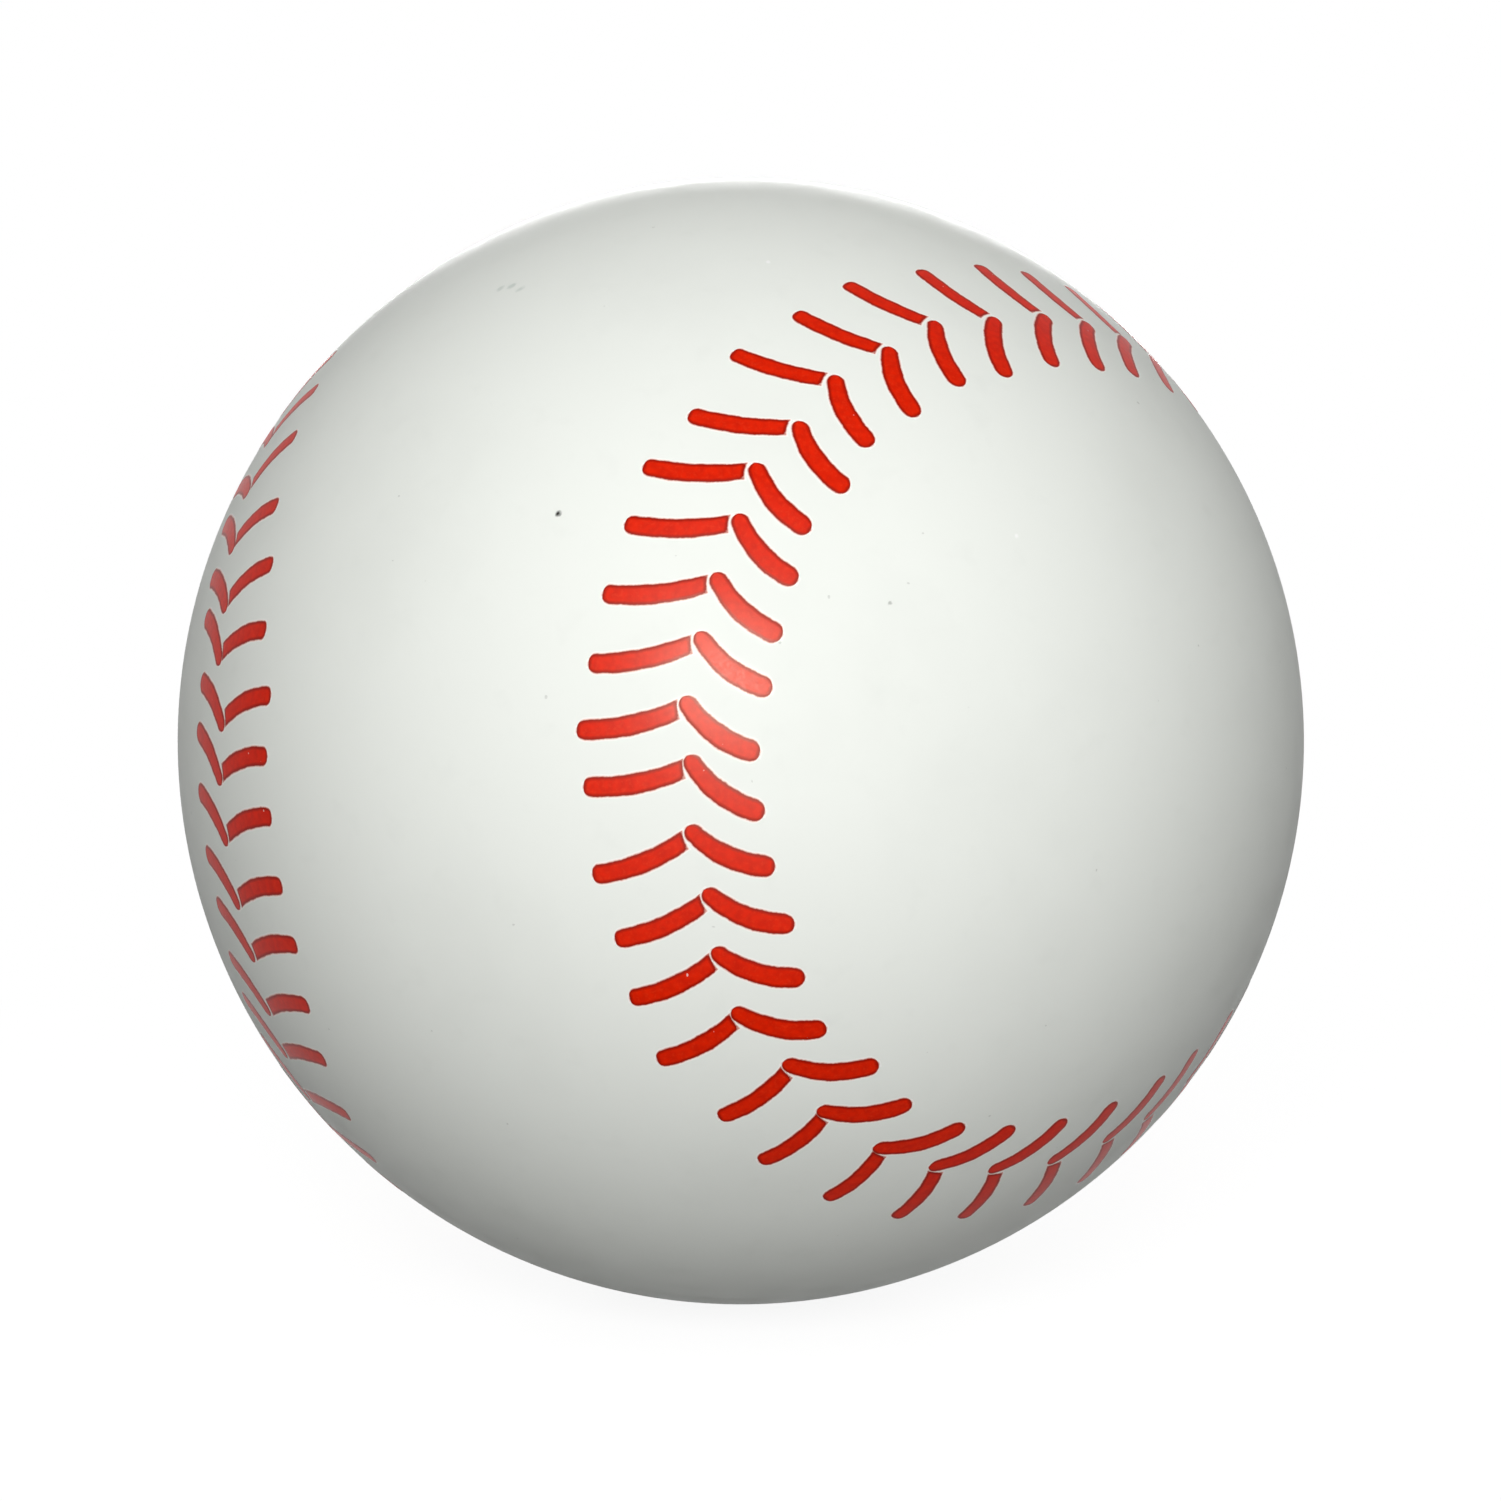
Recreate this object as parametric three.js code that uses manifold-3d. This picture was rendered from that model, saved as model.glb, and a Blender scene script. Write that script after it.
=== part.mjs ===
// Hollow rubber practice baseball with a printed stitching pattern, in millimetres.
//
// The origin is the centre of the ball and +Z is up. Seen from the front, which looks along +Y,
// one row of stitches runs down the middle and the next one runs close to the left edge.

import * as THREE from "three";
import { mergeVertices } from "three/addons/utils/BufferGeometryUtils.js";
import Module from "manifold-3d";

const wasm = await Module();
wasm.setup();

// Ball and rubber walls
const BALL_DIAMETER = 73;
const COVER_WALL = 3;
const LINER_WALL = 6.5;
const CEMENT_FILM = 0.4;

// Air plug
const PLUG_STEM_RADIUS = 3;
const PLUG_FLANGE_RADIUS = 6.5;
const PLUG_FLANGE_THICKNESS = 1.6;

// Gaps that keep bonded pieces apart: round the plug's stem, between curved walls, and between flat rims
const BORE_GAP = 0.3;
const WALL_GAP = 0.04;
const RIM_GAP = 0.02;

// Path of the seam on the ball: the width of the waist between two rows, and how strongly the rows bow
const WAIST_WIDTH = 35.8;
const SEAM_BOW = 0.48;

// How the seam lies: the waist's axis starts at +Z, is rolled about itself, tipped forward and turned left
const WAIST_ROLL = -38.2;
const WAIST_TIP = 85.3;
const WAIST_TURN = -33.7;

// Stitches: how many, the share of a step that they are moved along the seam, how much closer than even they
// stand at the waist, how far they lean as the row bends, and how far the printed row strays off the seam's curve.
// The lags say how many degrees late the crowding and the lean come
const STITCH_COUNT = 90;
const STITCHES_PER_RUN = 5;
const STITCH_SHIFT = 0.15;
const CROWDING = 0.124;
const CROWDING_LAG = 14.5;
const LEAN_SWING = 11.3;
const LEAN_LAG = 8;
const ROW_WANDER = 1.29;

// Long arm and short arm of one stitch. Length is the mean reach from the seam, and stretch is how much it grows and
// shrinks along the row, stretchLag degrees late. Sweep is the angle from square to the seam towards the row's
// start, sag bends an arm the same way, and setback is how far behind the stitch's place the arm begins, or before
// it if negative. An arm narrows to a share of its width over its last bit
const LONG_ARM = { length: 5.7, stretch: 0.71, stretchLag: 36, width: 1.2, sweep: 13.6, sag: 0.37, setback: 0.38 };
const SHORT_ARM = { length: 5.73, stretch: 0.21, stretchLag: -90, width: 1.3, sweep: 33.5, sag: 0.6, setback: -0.3 };
const ARM_TIP_SHARE = 0.55;
const ARM_TIP_LENGTH = 0.5;

// Ink film, and the hair of ink that joins the stitches of a run
const INK_THICKNESS = 0.15;
const INK_GAP = 0.01;
const HAIR_WIDTH = 0.3;
const HAIR_THICKNESS = 0.05;

// Fineness of the round shapes
const TURN_STEPS = 40;
const ARC_STEPS = 8;
const PLUG_TURN_STEPS = 24;
const PLUG_ARC_STEPS = 3;
const PATH_SAMPLES = 1440;

// The middle of a facet lies at this share of its corners' radius, so what fits inside a faceted wall is smaller
const FACET_SHARE = Math.cos(Math.PI / TURN_STEPS) * Math.cos(Math.PI / 4 / ARC_STEPS);

const BALL_RADIUS = BALL_DIAMETER / 2;
const COVER_INNER_RADIUS = BALL_RADIUS - COVER_WALL;
const LINER_RADIUS = COVER_INNER_RADIUS * FACET_SHARE - WALL_GAP;
const HOLLOW_RADIUS = LINER_RADIUS - LINER_WALL;

const { degToRad, lerp } = THREE.MathUtils;

// Materials
const material = (color, roughness) => new THREE.MeshStandardMaterial({ color, roughness, metalness: 0 });

const whiteRubber = material(0xeceee9, 0.42);
const darkRubber = material(0x3b3d40, 0.8);
const cement = material(0xc9b98a, 0.7);
const plugRubber = material(0x8a4a36, 0.75);
const redInk = material(0xd2200a, 0.5);

// Profile points on a circle about the origin, from one angle to another, both measured from the axis
function arcPoints(radius, fromAngle, toAngle, steps = ARC_STEPS) {
  return Array.from({ length: steps + 1 }, (_, i) => {
    const angle = lerp(fromAngle, toAngle, i / steps);
    return new THREE.Vector2(radius * Math.sin(angle), radius * Math.cos(angle));
  });
}

// A profile turned about the Z axis
function turned(points, steps = TURN_STEPS) {
  return new THREE.LatheGeometry(points, steps).rotateX(Math.PI / 2);
}

// A half cup above the XY plane: its flat rim lies at the height rim, and a bore may open its top
function halfCup(outerRadius, innerRadius, rim, boreRadius = 0) {
  const outer = arcPoints(
    outerRadius,
    Math.acos(rim / outerRadius),
    Math.asin(boreRadius / outerRadius),
  );
  const inner = arcPoints(
    innerRadius,
    Math.asin(boreRadius / innerRadius),
    Math.acos(rim / innerRadius),
  );
  return turned([...outer, ...inner, outer[0]]);
}

function coverHalf(name) {
  const mesh = new THREE.Mesh(halfCup(BALL_RADIUS, COVER_INNER_RADIUS, 0), whiteRubber);
  mesh.name = name;
  return mesh;
}

// Half of the liner; boreRadius opens the hole for the plug
function linerHalf(name, boreRadius) {
  const rim = CEMENT_FILM / 2 + RIM_GAP;
  const mesh = new THREE.Mesh(halfCup(LINER_RADIUS, HOLLOW_RADIUS, rim, boreRadius), darkRubber);
  mesh.name = name;
  return mesh;
}

function cementRing() {
  const half = CEMENT_FILM / 2;
  const corners = [
    [LINER_RADIUS, -half],
    [LINER_RADIUS, half],
    [HOLLOW_RADIUS, half],
    [HOLLOW_RADIUS, -half],
    [LINER_RADIUS, -half],
  ];
  const mesh = new THREE.Mesh(turned(corners.map(([r, z]) => new THREE.Vector2(r, z))), cement);
  mesh.name = "liner_cement_ring";
  return mesh;
}

// The plug fills the bore with its stem and lies against the hollow's wall with its domed flange
function airPlug() {
  const seatRadius = HOLLOW_RADIUS * FACET_SHARE - WALL_GAP;
  const flangeRadius = seatRadius - PLUG_FLANGE_THICKNESS;
  const edge = Math.asin(PLUG_FLANGE_RADIUS / seatRadius);
  const stemTop = Math.sqrt(LINER_RADIUS ** 2 - PLUG_STEM_RADIUS ** 2);
  const profile = [
    ...arcPoints(flangeRadius, 0, edge, PLUG_ARC_STEPS),
    ...arcPoints(seatRadius, edge, Math.asin(PLUG_STEM_RADIUS / seatRadius), PLUG_ARC_STEPS),
    new THREE.Vector2(PLUG_STEM_RADIUS, stemTop),
    new THREE.Vector2(0, stemTop),
  ];
  const mesh = new THREE.Mesh(turned(profile, PLUG_TURN_STEPS), plugRubber);
  mesh.name = "air_plug";
  return mesh;
}

// Direction of the seam at parameter t. Four half waves up and down turn into the two-lobed path
function seamDirection(t) {
  const waist = 1 - SEAM_BOW;
  const rise = waist / Math.tan(WAIST_WIDTH / 2 / BALL_RADIUS);
  return new THREE.Vector3(
    Math.cos(t) + SEAM_BOW * Math.cos(3 * t),
    Math.sin(t) - SEAM_BOW * Math.sin(3 * t),
    rise * Math.sin(2 * t),
  ).normalize();
}

// The path as points with the distance along the ball's surface up to each
const path = Array.from({ length: PATH_SAMPLES + 1 }, (_, i) => ({
  point: seamDirection((i / PATH_SAMPLES) * 2 * Math.PI),
  distance: 0,
}));
for (let i = 1; i <= PATH_SAMPLES; i++) {
  const step = path[i].point.angleTo(path[i - 1].point) * BALL_RADIUS;
  path[i].distance = path[i - 1].distance + step;
}
const SEAM_LENGTH = path[PATH_SAMPLES].distance;
const STITCH_STEP = SEAM_LENGTH / STITCH_COUNT;

// Ink is laid in flat facets, so its floor is lifted by as much as the longest of them dips towards the ball
const LONGEST_FACET = Math.max(
  LONG_ARM.length + LONG_ARM.stretch,
  SHORT_ARM.length + SHORT_ARM.stretch,
  STITCH_STEP * (1 + CROWDING),
);
const INK_FLOOR = BALL_RADIUS + INK_GAP + LONGEST_FACET ** 2 / (8 * BALL_RADIUS);

// Place on the seam at a distance: the direction there, the way forward, and the way to its left
function seamAt(distance) {
  const wanted = THREE.MathUtils.euclideanModulo(distance, SEAM_LENGTH);
  const next = Math.max(1, path.findIndex((sample) => sample.distance >= wanted));
  const from = path[next - 1];
  const to = path[next];
  const share = (wanted - from.distance) / (to.distance - from.distance);
  const point = from.point.clone().lerp(to.point, share).normalize();
  const forward = to.point.clone().sub(from.point).projectOnPlane(point).normalize();
  return { point, forward, left: point.clone().cross(forward) };
}

// A spot beside a place on the seam, walked over the ball, at a height above the ball's centre
function spotAt(place, along, across, radius) {
  const way = Math.hypot(along, across);
  if (way === 0) return place.point.clone().multiplyScalar(radius);
  const angle = way / BALL_RADIUS;
  return place.point
    .clone()
    .multiplyScalar(Math.cos(angle))
    .addScaledVector(place.forward, (Math.sin(angle) * along) / way)
    .addScaledVector(place.left, (Math.sin(angle) * across) / way)
    .multiplyScalar(radius);
}

// Where a stitch sits beside the seam, which has four waist sides: the place on the seam, the phase there in
// radians, the lean in degrees and the wander to the seam's left
function stitchAt(index) {
  const quarter = SEAM_LENGTH / 4;
  const phaseAt = (distance) => (2 * Math.PI * (distance - quarter / 2)) / quarter;
  const even = (index + STITCH_SHIFT) * STITCH_STEP;
  const crowded = Math.sin(phaseAt(even) - degToRad(CROWDING_LAG));
  const distance = even - (CROWDING * quarter * crowded) / (2 * Math.PI);
  const phase = phaseAt(distance);
  return {
    place: seamAt(distance),
    phase,
    lean: -LEAN_SWING * Math.sin(phase - degToRad(LEAN_LAG)),
    wander: ROW_WANDER * (Math.sin(phase / 4) - Math.sin((3 * phase) / 4)),
  };
}

// A closed solid from a geometry whose only data is its points
function solidOf(geometry) {
  geometry.deleteAttribute("normal");
  geometry.deleteAttribute("uv");
  const merged = mergeVertices(geometry);
  return new wasm.Manifold(
    new wasm.Mesh({
      numProp: 3,
      vertProperties: merged.attributes.position.array,
      triVerts: new Uint32Array(merged.index.array),
    }),
  );
}

// Outline of one arm of a stitch, from its root behind to its root in front. Its points hold the way forward
// and the way to the left of the stitch. side is 1 for an arm to the left of the seam and -1 to the right
function armOutline(arm, side, stitch) {
  const angle = degToRad(arm.sweep - side * stitch.lean);
  const length = arm.length + arm.stretch * Math.cos(stitch.phase - degToRad(arm.stretchLag));
  const way = new THREE.Vector2(-Math.sin(angle), side * Math.cos(angle));
  const front = new THREE.Vector2(Math.cos(angle), side * Math.sin(angle));
  const halfWidth = arm.width / 2;
  const edgePoint = (share, edge) => {
    const narrowed = share === 1 ? ARM_TIP_SHARE : 1;
    const drop = 4 * share * (1 - share) * arm.sag;
    return way
      .clone()
      .multiplyScalar(share * length)
      .addScaledVector(front, edge * halfWidth * narrowed - drop);
  };
  const root = (edge) => new THREE.Vector2((edge * halfWidth) / Math.cos(angle), (side * HAIR_WIDTH) / 2);
  const shares = [0.5, 1 - ARM_TIP_LENGTH / length, 1];
  const behind = [root(-1), ...shares.map((share) => edgePoint(share, -1))];
  const ahead = [root(1), ...shares.map((share) => edgePoint(share, 1))];
  return [...behind, ...ahead.reverse()].map((point) => point.setX(point.x - arm.setback));
}

// A film of ink from an outline drawn flat. layOn(along, across, radius) puts each of its points on the ball
function inkFilm(outline, floor, thickness, layOn) {
  const film = new THREE.ExtrudeGeometry(new THREE.Shape(outline), { depth: thickness, bevelEnabled: false });
  const spots = film.attributes.position;
  for (let i = 0; i < spots.count; i++) {
    const spot = layOn(spots.getX(i), spots.getY(i), floor + spots.getZ(i));
    spots.setXYZ(i, spot.x, spot.y, spot.z);
  }
  return solidOf(film);
}

// The two arms of a stitch, which share the ground between their roots
function stitchFilm(stitch) {
  const outline = [
    ...armOutline(LONG_ARM, 1, stitch),
    ...armOutline(SHORT_ARM, -1, stitch).reverse(),
  ];
  return inkFilm(outline, INK_FLOOR, INK_THICKNESS, (along, across, radius) =>
    spotAt(stitch.place, along, across + stitch.wander, radius),
  );
}

// The hair of ink from inside one stitch to inside the next. It is thinner than their films
function hairFilm(stitch, next) {
  const edge = HAIR_WIDTH / 2;
  const outline = [
    new THREE.Vector2(0, -edge),
    new THREE.Vector2(1, -edge),
    new THREE.Vector2(1, edge),
    new THREE.Vector2(0, edge),
  ];
  const floor = INK_FLOOR + (INK_THICKNESS - HAIR_THICKNESS) / 2;
  return inkFilm(outline, floor, HAIR_THICKNESS, (isNext, across, radius) => {
    const end = isNext ? next : stitch;
    return spotAt(end.place, 0, across + end.wander, radius);
  });
}

// One printed run: the films of its stitches, each joined to the one before it by a hair
function stitchRun(name, first, last) {
  let run = stitchFilm(stitchAt(first));
  for (let index = first + 1; index <= last; index++) {
    run = run.add(hairFilm(stitchAt(index - 1), stitchAt(index))).add(stitchFilm(stitchAt(index)));
  }
  const { vertProperties, triVerts } = run.getMesh();
  const geometry = new THREE.BufferGeometry();
  geometry.setAttribute("position", new THREE.BufferAttribute(vertProperties, 3));
  geometry.setIndex(new THREE.BufferAttribute(triVerts, 1));
  const flat = geometry.toNonIndexed();
  flat.computeVertexNormals();
  const mesh = new THREE.Mesh(flat, redInk);
  mesh.name = name;
  return mesh;
}

// Cover: its joint is level
const cover = new THREE.Group();
const coverLower = coverHalf("cover_lower_half");
coverLower.rotation.x = Math.PI;
cover.add(coverHalf("cover_upper_half"), coverLower);

// Liner: its joint is upright, a quarter turn from the cover's, and the plug sits at the left
const liner = new THREE.Group();
liner.rotation.y = Math.PI / 2;
const linerLeft = new THREE.Group();
linerLeft.rotation.x = Math.PI;
linerLeft.add(linerHalf("liner_left_half", PLUG_STEM_RADIUS + BORE_GAP), airPlug());
liner.add(linerHalf("liner_right_half", 0), linerLeft, cementRing());

// Printed stitching, in runs that follow each other round the seam
const stitching = new THREE.Group();
stitching.rotation.z = degToRad(WAIST_ROLL);
for (let first = 0, run = 1; first < STITCH_COUNT; first += STITCHES_PER_RUN, run++) {
  const last = Math.min(first + STITCHES_PER_RUN, STITCH_COUNT) - 1;
  stitching.add(stitchRun(`stitch_print_${String(run).padStart(2, "0")}`, first, last));
}
const tipped = new THREE.Group();
tipped.rotation.x = degToRad(WAIST_TIP);
tipped.add(stitching);
const seam = new THREE.Group();
seam.rotation.z = degToRad(WAIST_TURN);
seam.add(tipped);

const ball = new THREE.Group();
ball.name = "rubber_baseball";
ball.add(cover, liner, seam);

export default ball;
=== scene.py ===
# %% [markdown]
# # A hollow rubber practice ball with printed stitches
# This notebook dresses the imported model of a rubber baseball. The real ball is a white
# rubber skin over a springy dark liner, and its red stitches are ink, not thread.
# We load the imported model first, because every piece has to sit exactly where it sits.

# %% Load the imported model
import math
import random

import bpy
from mathutils import Matrix, Vector


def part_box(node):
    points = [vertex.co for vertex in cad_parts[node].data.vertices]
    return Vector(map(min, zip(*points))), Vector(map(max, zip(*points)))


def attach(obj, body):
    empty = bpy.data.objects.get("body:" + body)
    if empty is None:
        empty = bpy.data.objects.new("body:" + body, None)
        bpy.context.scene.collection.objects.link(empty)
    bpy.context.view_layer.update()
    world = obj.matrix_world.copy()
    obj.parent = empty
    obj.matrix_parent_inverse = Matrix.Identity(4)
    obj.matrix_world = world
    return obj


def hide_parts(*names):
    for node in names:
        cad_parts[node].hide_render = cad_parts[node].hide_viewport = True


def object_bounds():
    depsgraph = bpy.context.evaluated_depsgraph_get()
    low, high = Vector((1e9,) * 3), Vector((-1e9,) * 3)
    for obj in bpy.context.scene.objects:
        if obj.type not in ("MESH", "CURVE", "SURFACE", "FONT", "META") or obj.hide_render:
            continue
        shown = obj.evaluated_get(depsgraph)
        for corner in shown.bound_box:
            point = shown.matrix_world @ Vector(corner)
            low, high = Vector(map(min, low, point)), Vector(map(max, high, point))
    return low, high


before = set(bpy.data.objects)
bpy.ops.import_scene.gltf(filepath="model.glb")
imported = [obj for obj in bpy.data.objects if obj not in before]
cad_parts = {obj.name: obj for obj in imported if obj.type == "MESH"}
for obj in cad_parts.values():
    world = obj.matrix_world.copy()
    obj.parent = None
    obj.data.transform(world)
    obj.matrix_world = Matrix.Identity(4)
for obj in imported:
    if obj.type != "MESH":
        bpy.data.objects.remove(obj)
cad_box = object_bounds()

MM = 0.001
print("nodes:", len(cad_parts), "box:", cad_box)

# %% [markdown]
# ## Sizes
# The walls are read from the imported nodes, so the dressed pieces fit them. A cup that is
# turned from a profile has its pole on an axis, and the pole gives the radius. The sizes of
# the print are measured on the photograph against the ball's width.

# %% Radii of the ball's walls
BALL_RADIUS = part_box("cover_upper_half")[1][2]
COVER_WALL = 3 * MM
COVER_INNER_RADIUS = BALL_RADIUS - COVER_WALL
LINER_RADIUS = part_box("liner_right_half")[1][0]
LINER_WALL = 6.5 * MM
HOLLOW_RADIUS = LINER_RADIUS - LINER_WALL
LINER_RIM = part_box("liner_right_half")[0][0]
CEMENT_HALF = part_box("liner_cement_ring")[1][0]
CAMERA_RISE = math.radians(10)
print("ball radius mm:", round(BALL_RADIUS / MM, 3), "liner radius mm:", round(LINER_RADIUS / MM, 3))

# %% [markdown]
# ## Turned pieces
# Every wall of this ball is round about an axis, so one helper turns a closed profile. A UV
# sphere with a Solidify modifier could do it too, but it would not give the flat rims. The
# faces of a dome get the exact direction of the ball as their normal, so the light runs over
# the joint of two halves without a line.

# %% Turn a closed profile about Z
TURN_STEPS = 256
DOME_STEPS = 64


def dome(radius, from_angle, to_angle, steps=DOME_STEPS):
    """Profile points on a circle about the origin, by their angle from the axis."""
    angles = [from_angle + (to_angle - from_angle) * i / steps for i in range(steps + 1)]
    return [(radius * math.sin(a), radius * math.cos(a)) for a in angles]


def turned(profile, steps=TURN_STEPS):
    """Vertices and faces of the solid that a closed profile sweeps. Points on the axis stay single."""
    on_axis = 1e-9
    spots, rings = [], []
    for r, z in profile:
        if r < on_axis:
            rings.append([len(spots)] * steps)
            spots.append(Vector((0, 0, z)))
            continue
        rings.append(list(range(len(spots), len(spots) + steps)))
        for k in range(steps):
            turn = 2 * math.pi * k / steps
            spots.append(Vector((r * math.cos(turn), r * math.sin(turn), z)))
    faces = []
    for ring, after in zip(rings, rings[1:] + rings[:1]):
        for k in range(steps):
            n = (k + 1) % steps
            corners = [ring[k], after[k], after[n], ring[n]]
            face = [c for i, c in enumerate(corners) if c not in corners[:i]]
            if len(face) > 2:
                faces.append(face)
    return spots, faces


# %% Make a mesh piece whose domes have exact normals
def dome_normals(mesh):
    """One normal per face corner: exact on faces that lie on one sphere about the centre."""
    same = 1e-7
    normals = [None] * len(mesh.loops)
    for face in mesh.polygons:
        reach = [mesh.vertices[v].co.length for v in face.vertices]
        is_dome = max(reach) - min(reach) < same and face.center.length > same
        outward = 1 if face.normal.dot(face.center) > 0 else -1
        for loop in face.loop_indices:
            spot = mesh.vertices[mesh.loops[loop].vertex_index].co
            normals[loop] = spot.normalized() * outward if is_dome else face.normal.copy()
    return normals


def turned_piece(name, profile, stand, steps=TURN_STEPS):
    """A solid of revolution as an object. stand turns its own axis into the ball's frame."""
    spots, faces = turned(profile, steps)
    mesh = bpy.data.meshes.new(name)
    mesh.from_pydata([stand @ s for s in spots], [], faces)
    mesh.update()
    mesh.shade_smooth()
    mesh.normals_split_custom_set(dome_normals(mesh))
    piece = bpy.data.objects.new(name, mesh)
    bpy.context.scene.collection.objects.link(piece)
    print(name, "faces:", len(mesh.polygons))
    return piece


def stands_for(piece, slot, *nodes):
    """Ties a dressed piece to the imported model."""
    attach(piece, "root")
    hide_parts(*nodes)


# %% [markdown]
# ## The cover
# On the real ball the white skin is two moulded cups, cured together and buffed until the
# join can't be seen. So each half is a cup with a flat rim, and the two rims share their
# place exactly.

# %% Two cover halves
def cup(outer, inner, rim, bore=0.0):
    """Closed profile of a half cup with its rim at a height, and with a bore through its top."""
    outside = dome(outer, math.acos(rim / outer), math.asin(bore / outer))
    inside = dome(inner, math.asin(bore / inner), math.acos(rim / inner))
    return outside + inside


UPRIGHT = Matrix.Identity(3)
UPSIDE_DOWN = Matrix.Rotation(math.pi, 3, "X")
TO_THE_RIGHT = Matrix.Rotation(math.pi / 2, 3, "Y")
TO_THE_LEFT = TO_THE_RIGHT @ UPSIDE_DOWN

cover_profile = cup(BALL_RADIUS, COVER_INNER_RADIUS, 0)
cover_upper = turned_piece("cover_upper", cover_profile, UPRIGHT)
cover_lower = turned_piece("cover_lower", cover_profile, UPSIDE_DOWN)
stands_for(cover_upper, "cover_rubber", "cover_upper_half")
stands_for(cover_lower, "cover_rubber", "cover_lower_half")

# %% [markdown]
# ## The inside
# A thick liner gives the ball its bounce. It is two cups with a film of cement between their
# rims, and a plug of soft rubber seals the hole that the hollow is filled through. None of it
# shows, but whoever cuts the model open finds it finished.

# %% Liner halves, cement and plug
PLUG_STEM_RADIUS = 3 * MM
PLUG_FLANGE_RADIUS = 6.5 * MM
PLUG_FLANGE_THICKNESS = 1.6 * MM
BORE_GAP = 0.3 * MM
SEAT_GAP = 0.04 * MM
INSIDE_STEPS = 128
PLUG_DOME_STEPS = 12

bored = cup(LINER_RADIUS, HOLLOW_RADIUS, LINER_RIM, PLUG_STEM_RADIUS + BORE_GAP)
liner_left = turned_piece("liner_left", bored, TO_THE_LEFT, INSIDE_STEPS)
whole = cup(LINER_RADIUS, HOLLOW_RADIUS, LINER_RIM)
liner_right = turned_piece("liner_right", whole, TO_THE_RIGHT, INSIDE_STEPS)
stands_for(liner_left, "liner_rubber", "liner_left_half")
stands_for(liner_right, "liner_rubber", "liner_right_half")

washer = [
    (LINER_RADIUS, -CEMENT_HALF),
    (LINER_RADIUS, CEMENT_HALF),
    (HOLLOW_RADIUS, CEMENT_HALF),
    (HOLLOW_RADIUS, -CEMENT_HALF),
]
cement_ring = turned_piece("cement_ring", washer, TO_THE_RIGHT, INSIDE_STEPS)
stands_for(cement_ring, "joint_cement", "liner_cement_ring")

seat = HOLLOW_RADIUS - SEAT_GAP
flange_edge = math.asin(PLUG_FLANGE_RADIUS / seat)
stem_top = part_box("air_plug")[0][0]
plug_profile = (
    dome(seat - PLUG_FLANGE_THICKNESS, 0, flange_edge, PLUG_DOME_STEPS)
    + dome(seat, flange_edge, math.asin(PLUG_STEM_RADIUS / seat), PLUG_DOME_STEPS)
    + [(PLUG_STEM_RADIUS, -stem_top), (0, -stem_top)]
)
plug = turned_piece("plug", plug_profile, TO_THE_LEFT, INSIDE_STEPS)
stands_for(plug, "plug_rubber", "air_plug")

# %% [markdown]
# ## The path of the seam
# Real baseballs close with a seam that winds round the ball in two lobes. The print copies
# it. Two waves drawn round the ball, one up and down and one that bows the rows, give that
# path from a formula, so nothing has to be drawn by hand.

# %% The seam's path and how it lies
WAIST_WIDTH = 35.8 * MM
SEAM_BOW = 0.48
WAIST_ROLL, WAIST_TIP, WAIST_TURN = (math.radians(a) for a in (-38.2, 85.3, -33.7))
PATH_SAMPLES = 1440

SEAM_TO_BALL = (
    Matrix.Rotation(WAIST_TURN, 3, "Z")
    @ Matrix.Rotation(WAIST_TIP, 3, "X")
    @ Matrix.Rotation(WAIST_ROLL, 3, "Z")
)


def seam_direction(t):
    waist = 1 - SEAM_BOW
    rise = waist / math.tan(WAIST_WIDTH / 2 / BALL_RADIUS)
    return Vector((
        math.cos(t) + SEAM_BOW * math.cos(3 * t),
        math.sin(t) - SEAM_BOW * math.sin(3 * t),
        rise * math.sin(2 * t),
    )).normalized()


path = [seam_direction(2 * math.pi * i / PATH_SAMPLES) for i in range(PATH_SAMPLES + 1)]
reached = [0.0]
for before, after in zip(path, path[1:]):
    reached.append(reached[-1] + before.angle(after) * BALL_RADIUS)
SEAM_LENGTH = reached[-1]
print("seam length mm:", round(SEAM_LENGTH / MM, 1))


def seam_at(distance):
    """Direction of a place on the seam, the way forward there, and the way to its left."""
    wanted = distance % SEAM_LENGTH
    after = max(1, next(i for i, d in enumerate(reached) if d >= wanted))
    share = (wanted - reached[after - 1]) / (reached[after] - reached[after - 1])
    point = path[after - 1].lerp(path[after], share).normalized()
    step = path[after] - path[after - 1]
    forward = (step - point * step.dot(point)).normalized()
    return point, forward, point.cross(forward)


# %% [markdown]
# ## Where the stitches sit
# Ninety stitches go round. They stand a little closer at the waist, and lean as the row
# bends. A hand-cut printing pad is never exact, so each stitch also strays a little, always
# by the same amounts, because the random numbers have a seed. The seed was picked out of
# 30,000, as the one whose strays come nearest to those of the 35 stitches that could be
# fitted to the photograph. It isn't a measurement of any single stitch.

# %% Stitch places
STITCH_COUNT = 90
STITCHES_PER_RUN = 5
STITCH_SHIFT = 0.15
CROWDING = 0.124
CROWDING_LAG = math.radians(14.5)
LEAN_SWING = 11.3
LEAN_LAG = math.radians(8)
ROW_WANDER = 1.29 * MM
STRAY_ALONG = 0.22 * MM
STRAY_ACROSS = 0.22 * MM
STRAY_LEAN = 2.6

strays = random.Random(13854)
edge_waves = random.Random(7)


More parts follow.
